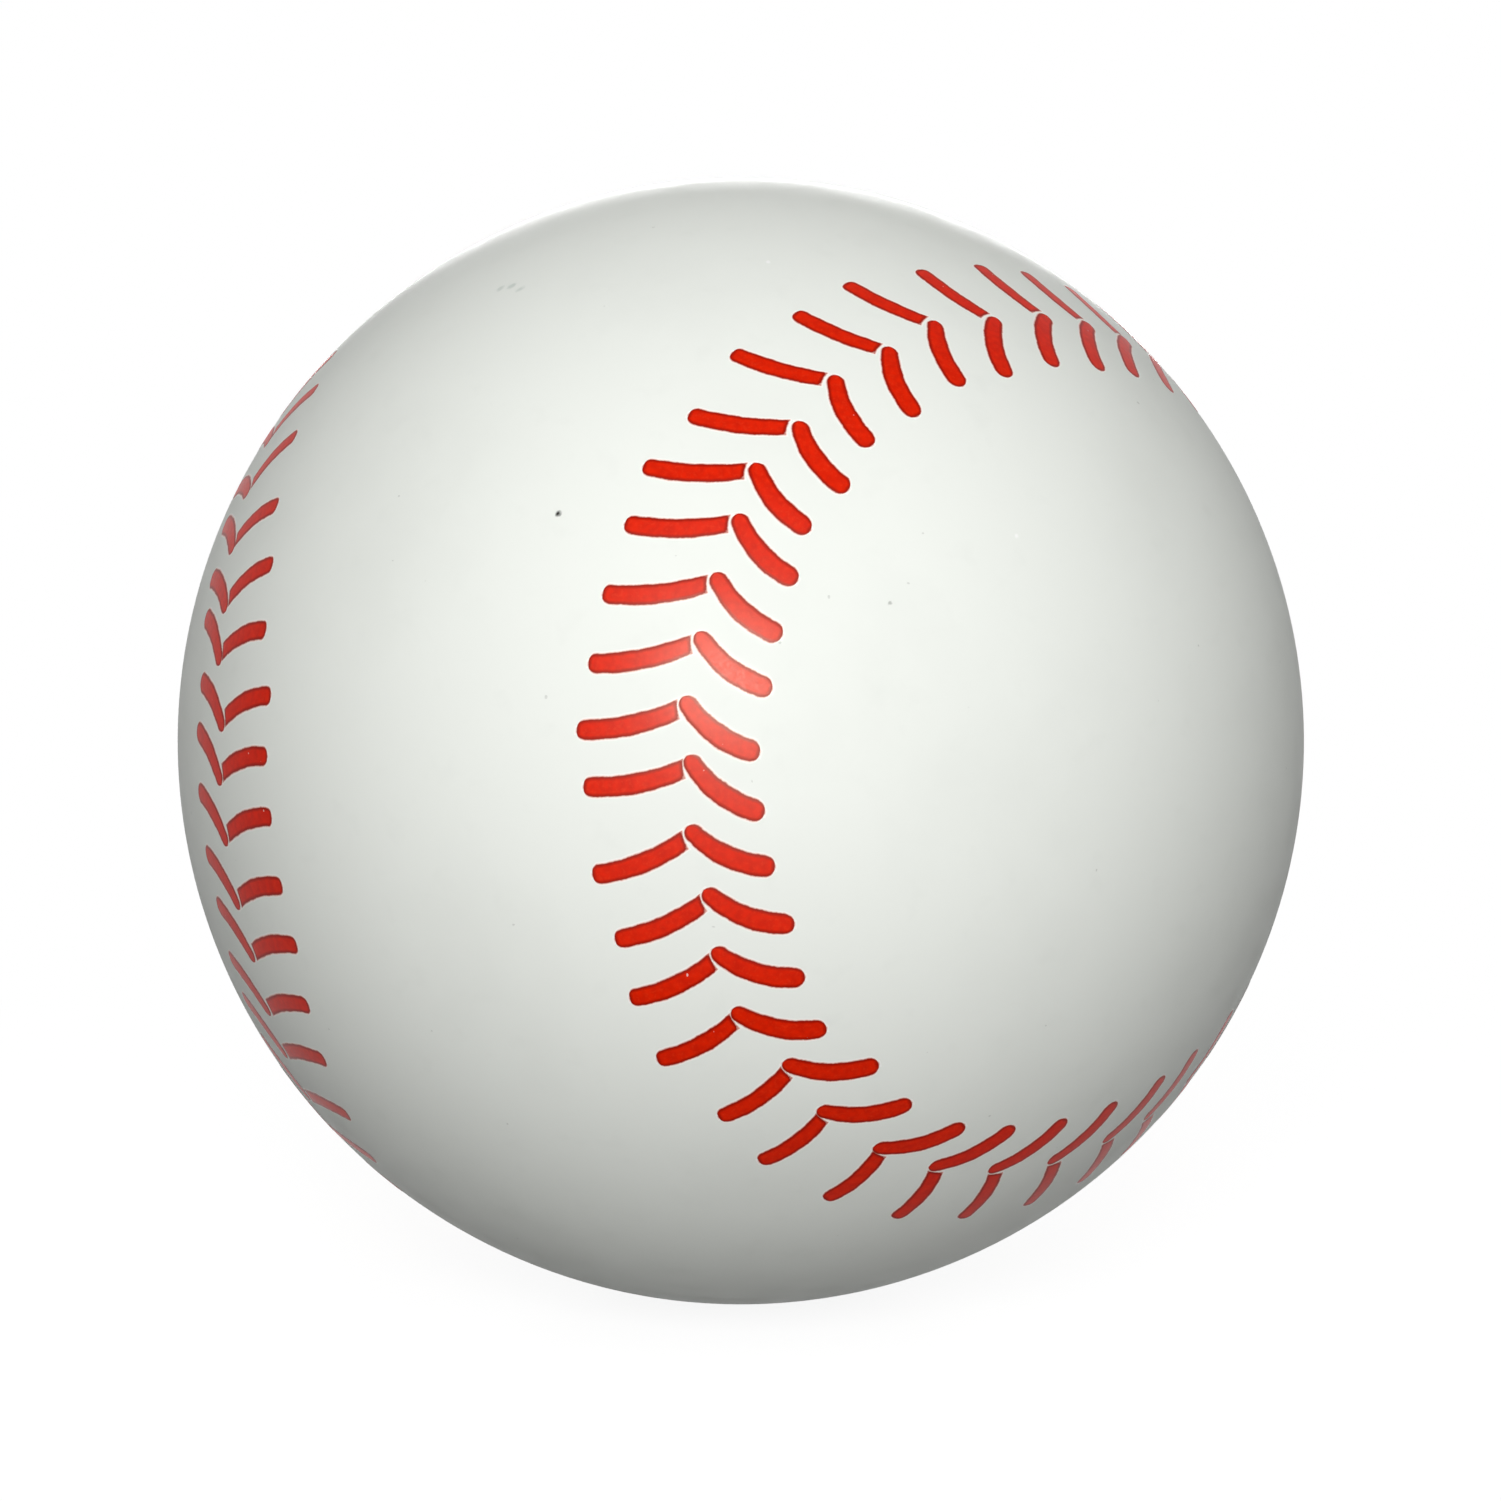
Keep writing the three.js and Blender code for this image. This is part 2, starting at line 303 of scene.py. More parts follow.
def stitch_at(index):
    """A stitch's place on the seam, the phase there, its lean in degrees and its wander to the left."""
    quarter = SEAM_LENGTH / 4
    even = (index + STITCH_SHIFT) * SEAM_LENGTH / STITCH_COUNT
    phase = 2 * math.pi * (even - quarter / 2) / quarter
    distance = even - CROWDING * quarter * math.sin(phase - CROWDING_LAG) / (2 * math.pi)
    phase = 2 * math.pi * (distance - quarter / 2) / quarter
    lean = -LEAN_SWING * math.sin(phase - LEAN_LAG)
    wander = ROW_WANDER * (math.sin(phase / 4) - math.sin(3 * phase / 4))
    return seam_at(distance), phase, lean, wander


def spot_at(place, along, across, height):
    """A spot beside a place on the seam, walked over the ball, at a height over the rubber."""
    point, forward, left = place
    way = math.hypot(along, across)
    if way == 0:
        return point * (BALL_RADIUS + height)
    turn = way / BALL_RADIUS
    walked = point * math.cos(turn) + (forward * along + left * across) * (math.sin(turn) / way)
    return walked * (BALL_RADIUS + height)


# %% [markdown]
# ## The shape of one stroke
# A stitch is two strokes of ink. The short one looks laid on top: it is round at both ends
# and widens outward. The long one stops short of it with a slanted, hollowed cut. Each
# stroke is a thin pillow of ink on the ball, built as a grid of stations along it, with a
# narrow white underprint round it and a wavy edge, as a pad print has.

# %% Stroke sizes
LONG_ARM = dict(
    side=1, length=5.56 * MM, stretch=0.71 * MM, stretch_lag=math.radians(36),
    sweep=13.6, sag=0.37 * MM, setback=0.38 * MM, inset=0.14 * MM,
    width_in=1.08 * MM, width_mid=1.22 * MM, width_out=1.15 * MM,
    cut=True, tip_power=2.6,
)
SHORT_ARM = dict(
    side=-1, length=5.65 * MM, stretch=0.21 * MM, stretch_lag=math.radians(-90),
    sweep=33.5, sag=0.60 * MM, setback=-0.38 * MM, inset=0.10 * MM,
    width_in=1.02 * MM, width_mid=1.31 * MM, width_out=1.29 * MM,
    cut=False, tip_power=2.1,
)
CUT_SLANT = 0.16 * MM
CUT_HOLLOW = 0.07 * MM
INK_HEIGHT = 0.022 * MM
UNDERPRINT_WIDTH = 0.12 * MM
UNDERPRINT_HEIGHT = 0.006 * MM
FOOT_WIDTH = 0.03 * MM
FILM_FOOT = -0.012 * MM
EDGE_WAVES = ((0.45 * MM, 0.006 * MM), (1.1 * MM, 0.013 * MM), (2.6 * MM, 0.014 * MM))
INK_COLUMNS = (-1, -0.88, -0.62, -0.3, 0, 0.3, 0.62, 0.88, 1)
TIP_STEPS = 8
BODY_STEPS = 20


# %% Stations along a stroke and its grid of spots
def wave(seed):
    """A smooth wavy line from three waves with random phases."""
    phases = [seed.uniform(0, 2 * math.pi) for _ in EDGE_WAVES]
    return lambda s: sum(
        size * math.sin(2 * math.pi * s / length + phase)
        for (length, size), phase in zip(EDGE_WAVES, phases)
    )


def stations(arm):
    """Distances along the arm where its width is set, closer together at round ends."""
    length = arm["length"]
    cap_out = arm["width_out"] / 2
    cap_in = 0 if arm["cut"] else arm["width_in"] / 2
    quarter_turns = [math.pi / 2 * (i + 0.35) / (TIP_STEPS + 0.35) for i in range(TIP_STEPS)]
    start = [0.0] if arm["cut"] else [cap_in * (1 - math.cos(a)) for a in quarter_turns]
    end = [length - cap_out * (1 - math.cos(a)) for a in quarter_turns]
    body = [cap_in + (length - cap_out - cap_in) * i / BODY_STEPS for i in range(1, BODY_STEPS)]
    if not arm["cut"]:
        body.insert(0, cap_in)
    return start + body + [length - cap_out] + end[::-1]


def half_width(arm, s):
    """Half of the stroke's width at a distance along it, round ends included."""
    share = s / arm["length"]
    narrow, middle, wide = arm["width_in"], arm["width_mid"], arm["width_out"]
    full = (
        narrow * (1 - share) * (1 - 2 * share)
        + middle * 4 * share * (1 - share)
        + wide * share * (2 * share - 1)
    )

    def cap(gone, radius, power):
        if gone >= radius:
            return 1.0
        return (1 - (1 - gone / radius) ** power) ** (1 / power)

    outer = cap(arm["length"] - s, arm["width_out"] / 2, arm["tip_power"])
    inner = 1.0 if arm["cut"] else cap(s, arm["width_in"] / 2, 2)
    return full / 2 * outer * inner


def stroke_grid(arm, lean, seed):
    """Rows of (along, across, distance inside the ink's edge). The outermost ring is the underprint."""
    side = arm["side"]
    angle = math.radians(arm["sweep"] - side * lean)
    way = Vector((-math.sin(angle), side * math.cos(angle)))
    front = Vector((math.cos(angle), side * math.sin(angle)))
    base = Vector((-arm["setback"], side * arm["inset"]))
    behind, ahead = wave(seed), wave(seed)
    length = arm["length"]

    def spot(s, v, half):
        """The spot at a distance s along the bent centre line, v half widths in front of it."""
        share = s / length
        slope = 4 * arm["sag"] / length * (1 - 2 * share)
        normal = (front + way * slope).normalized()
        wavy = ahead(s) if v > 0 else behind(s)
        centre = way * s - front * (4 * share * (1 - share) * arm["sag"])
        return base + centre + normal * (v * half + math.copysign(min(1, abs(v)), v) * wavy)

    rows = []
    marks = stations(arm)
    for n, s in enumerate(marks):
        half = half_width(arm, s)
        row = []
        for v in INK_COLUMNS:
            shift = 0.0
            if arm["cut"]:
                fade = max(0.0, 1 - s / (length / 4))
                shift = fade * (-CUT_SLANT * v + CUT_HOLLOW * (1 - v * v))
            inside = min(half * (1 - abs(v)), length - s, s if arm["cut"] else s + half)
            if n in (0, len(marks) - 1):
                inside = 0.0
            row.append((*spot(s + shift, v, half), max(0.0, inside)))
        for beyond in (UNDERPRINT_WIDTH, UNDERPRINT_WIDTH + FOOT_WIDTH):
            least = max(half, beyond)
            slanted = CUT_SLANT * max(0.0, 1 - s / (length / 4)) if arm["cut"] else 0.0
            low = spot(s, -1 - beyond / least, least) + way * slanted
            high = spot(s, 1 + beyond / least, least) - way * slanted
            row = [(*low, -beyond)] + row + [(*high, -beyond)]
        rows.append(row)

    def past(row, step):
        return [(a + way.x * step, b + way.y * step, min(inside, -abs(step))) for a, b, inside in row]

    steps = (UNDERPRINT_WIDTH, UNDERPRINT_WIDTH + FOOT_WIDTH)
    before = [past(rows[0], -step) for step in reversed(steps)]
    after = [past(rows[-1], step) for step in steps]
    return before + rows + after


# %% [markdown]
# ## From strokes to pieces
# Every stroke becomes a closed film: its upper skin rises from the rubber to the thickness
# of the ink, and its foot dips just under the surface so that no light gets below it. The
# distance to the ink's edge is stored on the points, and the ink's material reads it.

# %% Print one run of stitches
INK_EDGE_RAMP = 0.05 * MM


def film_height(inside):
    if inside < 0:
        return UNDERPRINT_HEIGHT
    rise = min(1.0, inside / INK_EDGE_RAMP)
    return UNDERPRINT_HEIGHT + (INK_HEIGHT - UNDERPRINT_HEIGHT) * math.sin(rise * math.pi / 2)


def add_film(place, grid, spots, faces, edges):
    """Adds one closed film to the lists. The upper and the lower skin share nothing but their rim."""
    rows, columns = len(grid), len(grid[0])
    first = len(spots)
    for layer in ("upper", "lower"):
        for i, row in enumerate(grid):
            for j, (along, across, inside) in enumerate(row):
                on_rim = i in (0, rows - 1) or j in (0, columns - 1)
                height = FILM_FOOT if layer == "lower" or on_rim else film_height(inside)
                spots.append(SEAM_TO_BALL @ spot_at(place, along, across, height))
                edges.append(inside / MM)
    size = rows * columns

    def at(i, j, lower):
        on_rim = i in (0, rows - 1) or j in (0, columns - 1)
        return first + i * columns + j + (size if lower and not on_rim else 0)

    for i in range(rows - 1):
        for j in range(columns - 1):
            for lower in (False, True):
                corners = [
                    at(i, j, lower), at(i + 1, j, lower), at(i + 1, j + 1, lower), at(i, j + 1, lower),
                ]
                faces.append(corners[::-1] if lower else corners)


def print_run(name, first, last):
    """The strokes of some stitches as one piece."""
    spots, faces, edges = [], [], []
    for index in range(first, last + 1):
        place, phase, lean, wander = stitch_at(index)
        along = strays.gauss(0, STRAY_ALONG)
        across = wander + strays.gauss(0, STRAY_ACROSS)
        lean += strays.gauss(0, STRAY_LEAN)
        for arm in (LONG_ARM, SHORT_ARM):
            reach = arm["length"] + arm["stretch"] * math.cos(phase - arm["stretch_lag"])
            grid = [
                [(a + along, b + across, inside) for a, b, inside in row]
                for row in stroke_grid({**arm, "length": reach}, lean, edge_waves)
            ]
            if arm["side"] > 0:
                grid = grid[::-1]
            add_film(place, grid, spots, faces, edges)
    used = sorted({v for face in faces for v in face})
    renumber = {v: n for n, v in enumerate(used)}
    mesh = bpy.data.meshes.new(name)
    mesh.from_pydata([spots[v] for v in used], [], [[renumber[v] for v in face] for face in faces])
    mesh.update()
    mesh.shade_smooth()
    skyward = [Vector(spots[v]).normalized() for v in used]
    mesh.normals_split_custom_set_from_vertices([
        up if edges[v] <= 0 else (up + vertex.normal).normalized()
        for v, up, vertex in zip(used, skyward, mesh.vertices)
    ])
    reach = mesh.attributes.new("ink_edge_mm", "FLOAT", "POINT")
    reach.data.foreach_set("value", [edges[v] for v in used])
    piece = bpy.data.objects.new(name, mesh)
    bpy.context.scene.collection.objects.link(piece)
    return piece


stitch_prints = []
for run, first in enumerate(range(0, STITCH_COUNT, STITCHES_PER_RUN), start=1):
    last = min(first + STITCHES_PER_RUN, STITCH_COUNT) - 1
    piece = print_run(f"stitches_{run:02d}", first, last)
    stands_for(piece, "stitch_ink", f"stitch_print_{run:02d}")
    stitch_prints.append(piece)
print("runs:", len(stitch_prints), "points in one:", len(stitch_prints[0].data.vertices))

# %% [markdown]
# ## Materials
# A few small helpers keep the node trees readable: one adds a node and sets its inputs, one
# adds noise of a given grain size in the ball's own coordinates, in metres.

# %% Helpers for node materials
def start_material(name):
    material = bpy.data.materials.new(name)
    material.use_nodes = True
    tree = material.node_tree
    shader = tree.nodes["Principled BSDF"]
    coordinates = tree.nodes.new("ShaderNodeTexCoord")
    return material, tree, shader, coordinates.outputs["Object"]


def add(tree, kind, inputs=None, **settings):
    node = tree.nodes.new(kind)
    for name, value in settings.items():
        setattr(node, name, value)
    for name, value in (inputs or {}).items():
        socket = node.inputs[name]
        if isinstance(value, bpy.types.NodeSocket):
            tree.links.new(value, socket)
        else:
            socket.default_value = value
    return node


def grain(tree, where, size, detail):
    """Noise from 0 to 1 whose grains are about this size in metres."""
    noise = add(tree, "ShaderNodeTexNoise", {
        "Vector": where, "Scale": 1 / size, "Detail": detail, "Roughness": 0.5,
    })
    return noise.outputs["Fac"]


def math_node(tree, operation, a, b):
    return add(tree, "ShaderNodeMath", {0: a, 1: b}, operation=operation).outputs[0]


def spread(tree, value, low_in, high_in, low_out=0.0, high_out=1.0):
    """Maps a value from one range to another and keeps it inside."""
    node = add(tree, "ShaderNodeMapRange", {
        "Value": value, "From Min": low_in, "From Max": high_in, "To Min": low_out, "To Max": high_out,
    })
    return node.outputs["Result"]


def mix_colour(tree, share, a, b):
    node = tree.nodes.new("ShaderNodeMix")
    node.data_type = "RGBA"
    for index, value in ((0, share), (6, a), (7, b)):
        if isinstance(value, bpy.types.NodeSocket):
            tree.links.new(value, node.inputs[index])
        else:
            node.inputs[index].default_value = value
    return node.outputs[2]


def bump(tree, height, depth, strength):
    node = add(tree, "ShaderNodeBump", {"Strength": strength, "Distance": depth, "Height": height})
    return node.outputs["Normal"]


def colour(red, green, blue):
    """A colour as it looks on screen, from 0 to 255, as the shader wants it."""
    def light(c):
        c /= 255
        return c / 12.92 if c <= 0.04045 else ((c + 0.055) / 1.055) ** 2.4
    return (light(red), light(green), light(blue), 1.0)


# %% [markdown]
# ## White rubber
# The cover is filled white rubber with a satin, lightly buffed surface. Its white leans a
# little to green-grey. Moulding leaves a fine orange-peel grain that only shows as a soft
# edge to the sheen, and handling leaves faint grey smudges and a few specks.

# %% White cover rubber
RUBBER_WHITE = colour(239, 242, 236)
RUBBER_SMUDGE = colour(229, 232, 226)
PEEL_GRAIN = 0.35 * MM
BUFFING_GRAIN = 2.2 * MM
SMUDGE_GRAIN = 14 * MM
SPECK_GRAIN = 0.45 * MM
PEEL_DEPTH = 0.004 * MM
RUBBER_SPECULAR = 0.15
SATIN_LOW, SATIN_HIGH = 0.5, 0.58
SPECK_STRENGTH = 0.3

# Single marks on the side that the photograph shows: how far right of the ball's middle and how
# far above it they are seen, their width, strength and tint
SPECK_BLACK = colour(40, 38, 34)
DUST_GREY = colour(150, 152, 146)
LINT_WHITE = colour(252, 253, 250)
# Green-grey of painted shade: it stands in for the shadow inside a small crease of the skin, which is
# not modelled
CREASE_SHADE_GREEN = colour(196, 206, 198)
MARKS = (
    (-10.86 * MM, 13.56 * MM, 0.34 * MM, 1.0, SPECK_BLACK),
    (8.8 * MM, 8.15 * MM, 0.26 * MM, 0.6, DUST_GREY),
    (1.67 * MM, 29.37 * MM, 0.26 * MM, 0.9, LINT_WHITE),
    (16.5 * MM, 12.26 * MM, 0.26 * MM, 0.9, LINT_WHITE),
    # These three marks are painted shade, a darker streak where a small crease near the top would hold
    # shadow
    (-14.9 * MM, 28.05 * MM, 0.5 * MM, 0.5, CREASE_SHADE_GREEN),
    (-14.2 * MM, 28.15 * MM, 0.5 * MM, 0.6, CREASE_SHADE_GREEN),
    (-13.6 * MM, 27.9 * MM, 0.5 * MM, 0.5, CREASE_SHADE_GREEN),
)


def seen_spot(right, height):
    """The spot on the ball that the camera sees this far right of its middle and above it."""
    near = math.sqrt(BALL_RADIUS**2 - right**2 - height**2)
    return (
        right,
        -near * math.cos(CAMERA_RISE) + height * math.sin(CAMERA_RISE),
        near * math.sin(CAMERA_RISE) + height * math.cos(CAMERA_RISE),
    )


white_rubber, tree, shader, where = start_material("white_rubber_satin")
smudge = spread(tree, grain(tree, where, SMUDGE_GRAIN, 4), 0.52, 0.72, 0, 0.35)
fine_dirt = spread(tree, grain(tree, where, BUFFING_GRAIN, 3), 0.6, 0.8, 0, 0.25)
tone = mix_colour(tree, smudge, RUBBER_WHITE, RUBBER_SMUDGE)
tone = mix_colour(tree, fine_dirt, tone, RUBBER_SMUDGE)
speck = spread(tree, grain(tree, where, SPECK_GRAIN, 0), 0.9, 0.92, 0, SPECK_STRENGTH)
tone = mix_colour(tree, speck, tone, DUST_GREY)
for right, height, size, strength, tint in MARKS:
    spot = seen_spot(right, height)
    away = add(tree, "ShaderNodeVectorMath", {0: where, 1: spot}, operation="DISTANCE")
    uneven = math_node(tree, "SUBTRACT", grain(tree, where, size, 1), 0.5)
    bent = math_node(tree, "MULTIPLY", uneven, size)
    distance = math_node(tree, "ADD", away.outputs["Value"], bent)
    cover = spread(tree, distance, size * 0.3, size * 0.7, strength, 0)
    tone = mix_colour(tree, cover, tone, tint)
tree.links.new(tone, shader.inputs["Base Color"])
shader.inputs["Specular IOR Level"].default_value = RUBBER_SPECULAR
satin = spread(tree, grain(tree, where, BUFFING_GRAIN, 3), 0.3, 0.7, SATIN_LOW, SATIN_HIGH)
tree.links.new(satin, shader.inputs["Roughness"])
peel = grain(tree, where, PEEL_GRAIN, 2)
tree.links.new(bump(tree, peel, PEEL_DEPTH, 0.5), shader.inputs["Normal"])
for half in (cover_upper, cover_lower):
    half.data.materials.append(white_rubber)

# %% [markdown]
# ## Stitch ink
# The red is a flat screen ink with a satin skin. Where it ends, ink has gathered into a
# darker outline. The film has a mottled sheen, thin spots and the odd pinhole, and its white
# underprint peeks out round every stroke. Its gloss shows where the film faces the eye and
# fades toward the rim of the ball.

# %% Red ink
INK_RED = colour(224, 34, 2)
INK_DEEP = colour(206, 26, 2)
INK_OUTLINE = colour(140, 14, 2)
INK_THIN = colour(244, 66, 30)
INK_GLOSS_TINT = (1.0, 0.88, 0.72, 1.0)
INK_GLOSS_FACING = 0.38
INK_GLOSS_EDGE = 0.05
INK_SMOOTH, INK_ROUGH = 0.28, 0.37
OUTLINE_STRENGTH = 0.9
PINHOLE_STRENGTH = 0.5
THIN_STRENGTH = 0.3
RAGGED_MM = 0.07
UNDERPRINT_WHITE = colour(250, 249, 245)
INK_BLEED = colour(246, 200, 186)
OUTLINE_MM = (0.07, 0.25)
EDGE_BLUR_MM = 0.04
BLEED_MM = 0.1
EDGE_GRAIN = 0.16 * MM
MOTTLE_GRAIN = 0.4 * MM
SKIN_GRAIN = 0.2 * MM
PINHOLE_GRAIN = 0.3 * MM
INK_RELIEF = 0.004 * MM

red_ink, tree, shader, where = start_material("red_screen_ink")
reach = add(tree, "ShaderNodeAttribute", attribute_name="ink_edge_mm").outputs["Fac"]
uneven = math_node(tree, "SUBTRACT", grain(tree, where, EDGE_GRAIN, 2), 0.5)
inside = math_node(tree, "ADD", reach, math_node(tree, "MULTIPLY", uneven, RAGGED_MM))
mottle = spread(tree, grain(tree, where, MOTTLE_GRAIN, 3), 0.35, 0.7)
body = mix_colour(tree, mottle, INK_RED, INK_DEEP)
thin_spot = spread(tree, grain(tree, where, SKIN_GRAIN, 3), 0.5, 0.72, 0, THIN_STRENGTH)
body = mix_colour(tree, thin_spot, body, INK_THIN)
outline = spread(tree, inside, *OUTLINE_MM, 1, 0)
body = mix_colour(tree, math_node(tree, "MULTIPLY", outline, OUTLINE_STRENGTH), body, INK_OUTLINE)
pinhole = spread(tree, grain(tree, where, PINHOLE_GRAIN, 0), 0.87, 0.91, 0, PINHOLE_STRENGTH)
body = mix_colour(tree, pinhole, body, UNDERPRINT_WHITE)
printed = spread(tree, inside, -EDGE_BLUR_MM, EDGE_BLUR_MM)
bled = spread(tree, inside, -BLEED_MM, 0)
margin = mix_colour(tree, bled, UNDERPRINT_WHITE, INK_BLEED)
tree.links.new(mix_colour(tree, printed, margin, body), shader.inputs["Base Color"])
turned_away = add(tree, "ShaderNodeLayerWeight", {"Blend": 0.5}).outputs["Facing"]
gloss = spread(tree, turned_away, 0.01, 0.12, INK_GLOSS_FACING, INK_GLOSS_EDGE)
tree.links.new(gloss, shader.inputs["Specular IOR Level"])
shader.inputs["Specular Tint"].default_value = INK_GLOSS_TINT
skin = spread(tree, grain(tree, where, SKIN_GRAIN, 3), 0.3, 0.7, INK_SMOOTH, INK_ROUGH)
tree.links.new(skin, shader.inputs["Roughness"])
relief = bump(tree, grain(tree, where, MOTTLE_GRAIN, 3), INK_RELIEF, 0.6)
tree.links.new(relief, shader.inputs["Normal"])
for piece in stitch_prints:
    piece.data.materials.append(red_ink)

# %% [markdown]
# ## Inside materials
# The liner is carbon-filled rubber with dusting powder left on it, the plug is soft natural
# rubber, and the cement has dried amber. They differ only in colour and grain, so one
# function makes all three.

# %% Liner, cement and plug
def plain_rubber(name, dark, pale, grain_size, rough_low, rough_high, depth):
    material, tree, shader, where = start_material(name)
    patches = spread(tree, grain(tree, where, grain_size * 8, 4), 0.35, 0.7)
    powder = spread(tree, grain(tree, where, grain_size, 3), 0.55, 0.75, 0, 0.4)
    tone = mix_colour(tree, patches, dark, pale)
    tree.links.new(mix_colour(tree, powder, tone, pale), shader.inputs["Base Color"])
    rough = spread(tree, grain(tree, where, grain_size * 3, 2), 0.3, 0.7, rough_low, rough_high)
    tree.links.new(rough, shader.inputs["Roughness"])
    tree.links.new(bump(tree, grain(tree, where, grain_size, 3), depth, 0.7), shader.inputs["Normal"])
    return material


liner_rubber = plain_rubber(
    "dark_liner_rubber", colour(58, 60, 63), colour(84, 86, 88),
    grain_size=0.5 * MM, rough_low=0.7, rough_high=0.9, depth=0.03 * MM,
)
dried_cement = plain_rubber(
    "dried_cement", colour(188, 168, 118), colour(214, 198, 150),
    grain_size=0.3 * MM, rough_low=0.45, rough_high=0.7, depth=0.02 * MM,
)
plug_rubber = plain_rubber(
    "soft_plug_rubber", colour(132, 70, 52), colour(152, 88, 66),
    grain_size=0.4 * MM, rough_low=0.6, rough_high=0.8, depth=0.02 * MM,
)
for piece, material in (
    (liner_left, liner_rubber),
    (liner_right, liner_rubber),
    (cement_ring, dried_cement),
    (plug, plug_rubber),
):
    piece.data.materials.append(material)
print("materials:", [m.name for m in bpy.data.materials if m.use_nodes])

# %% [markdown]
# ## Floor and surroundings
# The photograph is cut out on pure white. Here the ball rests on a pale floor that the
# camera sees as white, but that keeps the soft shadow under the ball. For the camera only,
# the floor adds enough glow to reach white where the light falls on it.

# %% Pale floor
FLOOR_HALF = 4.0
FLOOR_GREY = 0.2
FLOOR_GLOW = 0.9
SHADOW_REACH = 0.11

floor_mesh = bpy.data.meshes.new("studio_floor")
low = max(cad_box[0][2], -BALL_RADIUS)
corners = [
    (x * FLOOR_HALF, y * FLOOR_HALF, low)
    for x, y in ((-1, -1), (1, -1), (1, 1), (-1, 1))
]
floor_mesh.from_pydata(corners, [], [(0, 1, 2, 3)])
floor = bpy.data.objects.new("studio_floor", floor_mesh)
bpy.context.scene.collection.objects.link(floor)


def looked_at(tree):
    """1 for rays that the camera or a reflection sends, 0 for rays that carry light."""
    eye = add(tree, "ShaderNodeLightPath")
    direct = math_node(tree, "MAXIMUM", eye.outputs["Is Camera Ray"], eye.outputs["Is Glossy Ray"])
    return math_node(tree, "MAXIMUM", direct, eye.outputs["Is Transmission Ray"])


floor_paint, tree, shader, where = start_material("pale_floor")
shader.inputs["Base Color"].default_value = (FLOOR_GREY, FLOOR_GREY, FLOOR_GREY, 1)
shader.inputs["Roughness"].default_value = 1.0
shader.inputs["Specular IOR Level"].default_value = 0.0
glow = add(tree, "ShaderNodeEmission", {"Color": (1, 1, 1, 1), "Strength": FLOOR_GLOW})
white = add(tree, "ShaderNodeEmission", {"Color": (1, 1, 1, 1), "Strength": 1.0})
lit = add(tree, "ShaderNodeAddShader")
tree.links.new(shader.outputs[0], lit.inputs[0])
tree.links.new(glow.outputs[0], lit.inputs[1])
reach = add(tree, "ShaderNodeVectorMath", {0: where}, operation="LENGTH").outputs["Value"]
away = spread(tree, reach, BALL_RADIUS, SHADOW_REACH)
seen_floor = add(tree, "ShaderNodeMixShader", {0: away})
tree.links.new(lit.outputs[0], seen_floor.inputs[1])
tree.links.new(white.outputs[0], seen_floor.inputs[2])
choose = add(tree, "ShaderNodeMixShader", {0: looked_at(tree)})
tree.links.new(shader.outputs[0], choose.inputs[1])
tree.links.new(seen_floor.outputs[0], choose.inputs[2])
tree.links.new(choose.outputs[0], tree.nodes["Material Output"].inputs["Surface"])
floor_mesh.materials.append(floor_paint)

# %% White surroundings with a plain level of light
AMBIENT = 0.07
world = bpy.data.worlds.new("studio")
bpy.context.scene.world = world
world.use_nodes = True
tree = world.node_tree
room = tree.nodes["Background"]
room.inputs["Color"].default_value = (1, 1, 1, 1)
room.inputs["Strength"].default_value = AMBIENT
backdrop = add(tree, "ShaderNodeBackground", {"Color": (1, 1, 1, 1), "Strength": 1.0})
seen = add(tree, "ShaderNodeMixShader", {0: looked_at(tree)})
tree.links.new(room.outputs[0], seen.inputs[1])
tree.links.new(backdrop.outputs[0], seen.inputs[2])
tree.links.new(seen.outputs[0], tree.nodes["World Output"].inputs["Surface"])

# %% [markdown]
# ## Lamps
# The ball is lit almost from the camera. A small soft box above it and a little to its left
# makes the pale sheen on the middle stitches, and a broader one beside the camera fills the
# front. A wide box high above the camera keeps the top brighter than the bottom. One box low
# behind the ball lights its far side, and the photograph's side sees next to nothing of it.

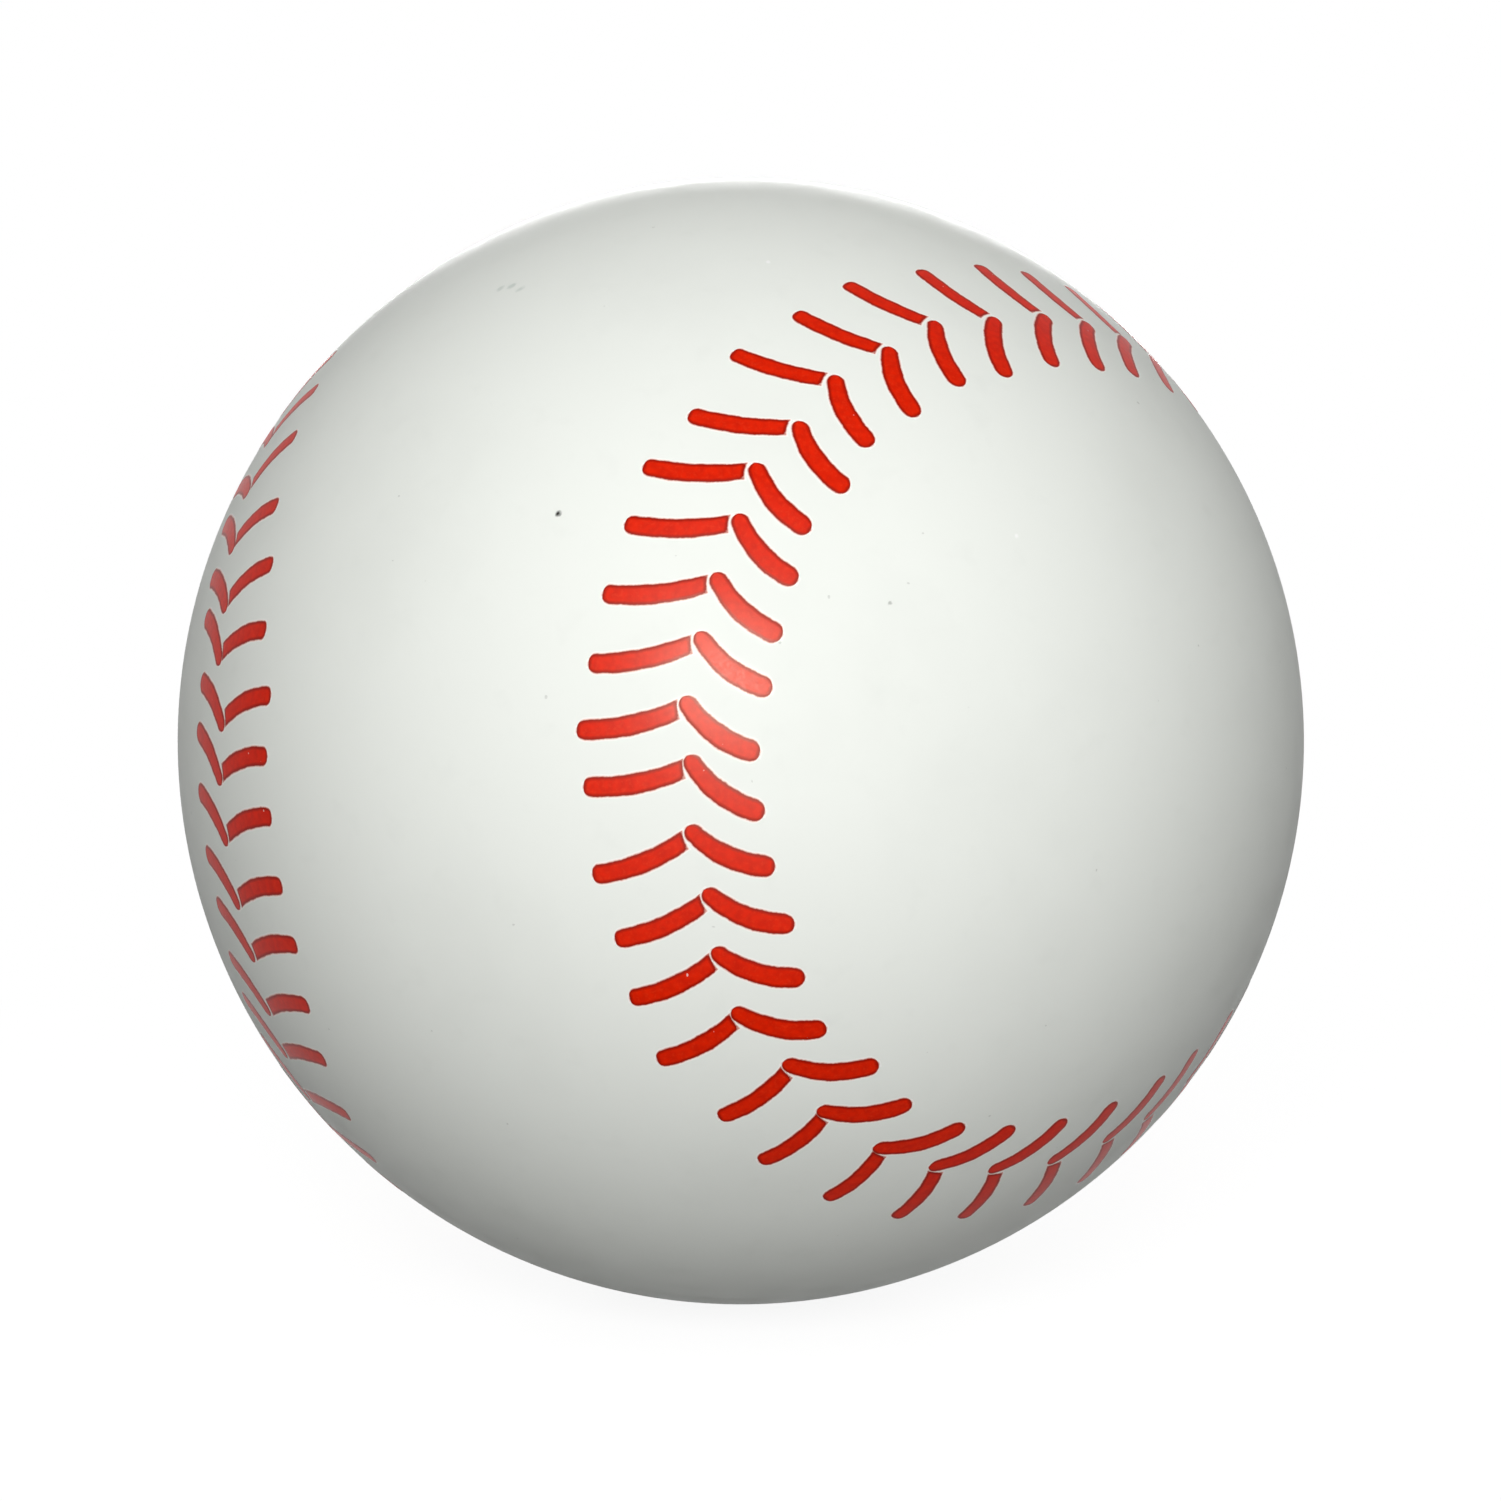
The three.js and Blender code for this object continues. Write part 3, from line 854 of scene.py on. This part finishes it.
# %% Soft boxes
LAMP_DISTANCE = 0.9


def soft_box(name, azimuth, rise, width, power):
    """A square lamp that looks at the ball. Azimuth 0 is the camera's side and 90 the right."""
    lamp = bpy.data.lights.new(name, "AREA")
    lamp.shape = "SQUARE"
    lamp.size = width
    lamp.energy = power
    holder = bpy.data.objects.new(name, lamp)
    a, r = math.radians(azimuth), math.radians(rise)
    way = Vector((math.sin(a) * math.cos(r), -math.cos(a) * math.cos(r), math.sin(r)))
    holder.location = way * LAMP_DISTANCE
    holder.rotation_euler = (-holder.location).to_track_quat("-Z", "Y").to_euler()
    bpy.context.scene.collection.objects.link(holder)
    print(name, "watts:", power)


soft_box("sheen_box", azimuth=-4, rise=23.5, width=0.3, power=4.1)
soft_box("camera_box", azimuth=6, rise=8, width=0.5, power=2.4)
soft_box("overhead_box", azimuth=2, rise=50, width=1.0, power=2.8)
soft_box("back_box", azimuth=180, rise=3, width=0.3, power=7.5)
bpy.context.scene.view_settings.view_transform = "Standard"

# %% [markdown]
# ## Camera
# The photograph is taken from ten ball radii away and a little from above, with the ball
# just left of and above the middle of the frame.

# %% Camera
CAMERA_DISTANCE = 10 * BALL_RADIUS
FOCAL_LENGTH = 134.4
SENSOR = 36.0
AIM_RIGHT = 0.625 * MM
AIM_DOWN = 0.60 * MM

lens = bpy.data.cameras.new("photo_camera")
lens.lens = FOCAL_LENGTH
lens.sensor_width = SENSOR
lens.clip_start = 0.01
lens.clip_end = 50
camera = bpy.data.objects.new("photo_camera", lens)
bpy.context.scene.collection.objects.link(camera)
camera.location = (0, -CAMERA_DISTANCE * math.cos(CAMERA_RISE), CAMERA_DISTANCE * math.sin(CAMERA_RISE))
up = Vector((0, math.sin(CAMERA_RISE), math.cos(CAMERA_RISE)))
aim = Vector((1, 0, 0)) * AIM_RIGHT - up * AIM_DOWN
camera.rotation_euler = (aim - camera.location).to_track_quat("-Z", "Y").to_euler()
bpy.context.scene.camera = camera
print("camera distance mm:", round(CAMERA_DISTANCE / MM))
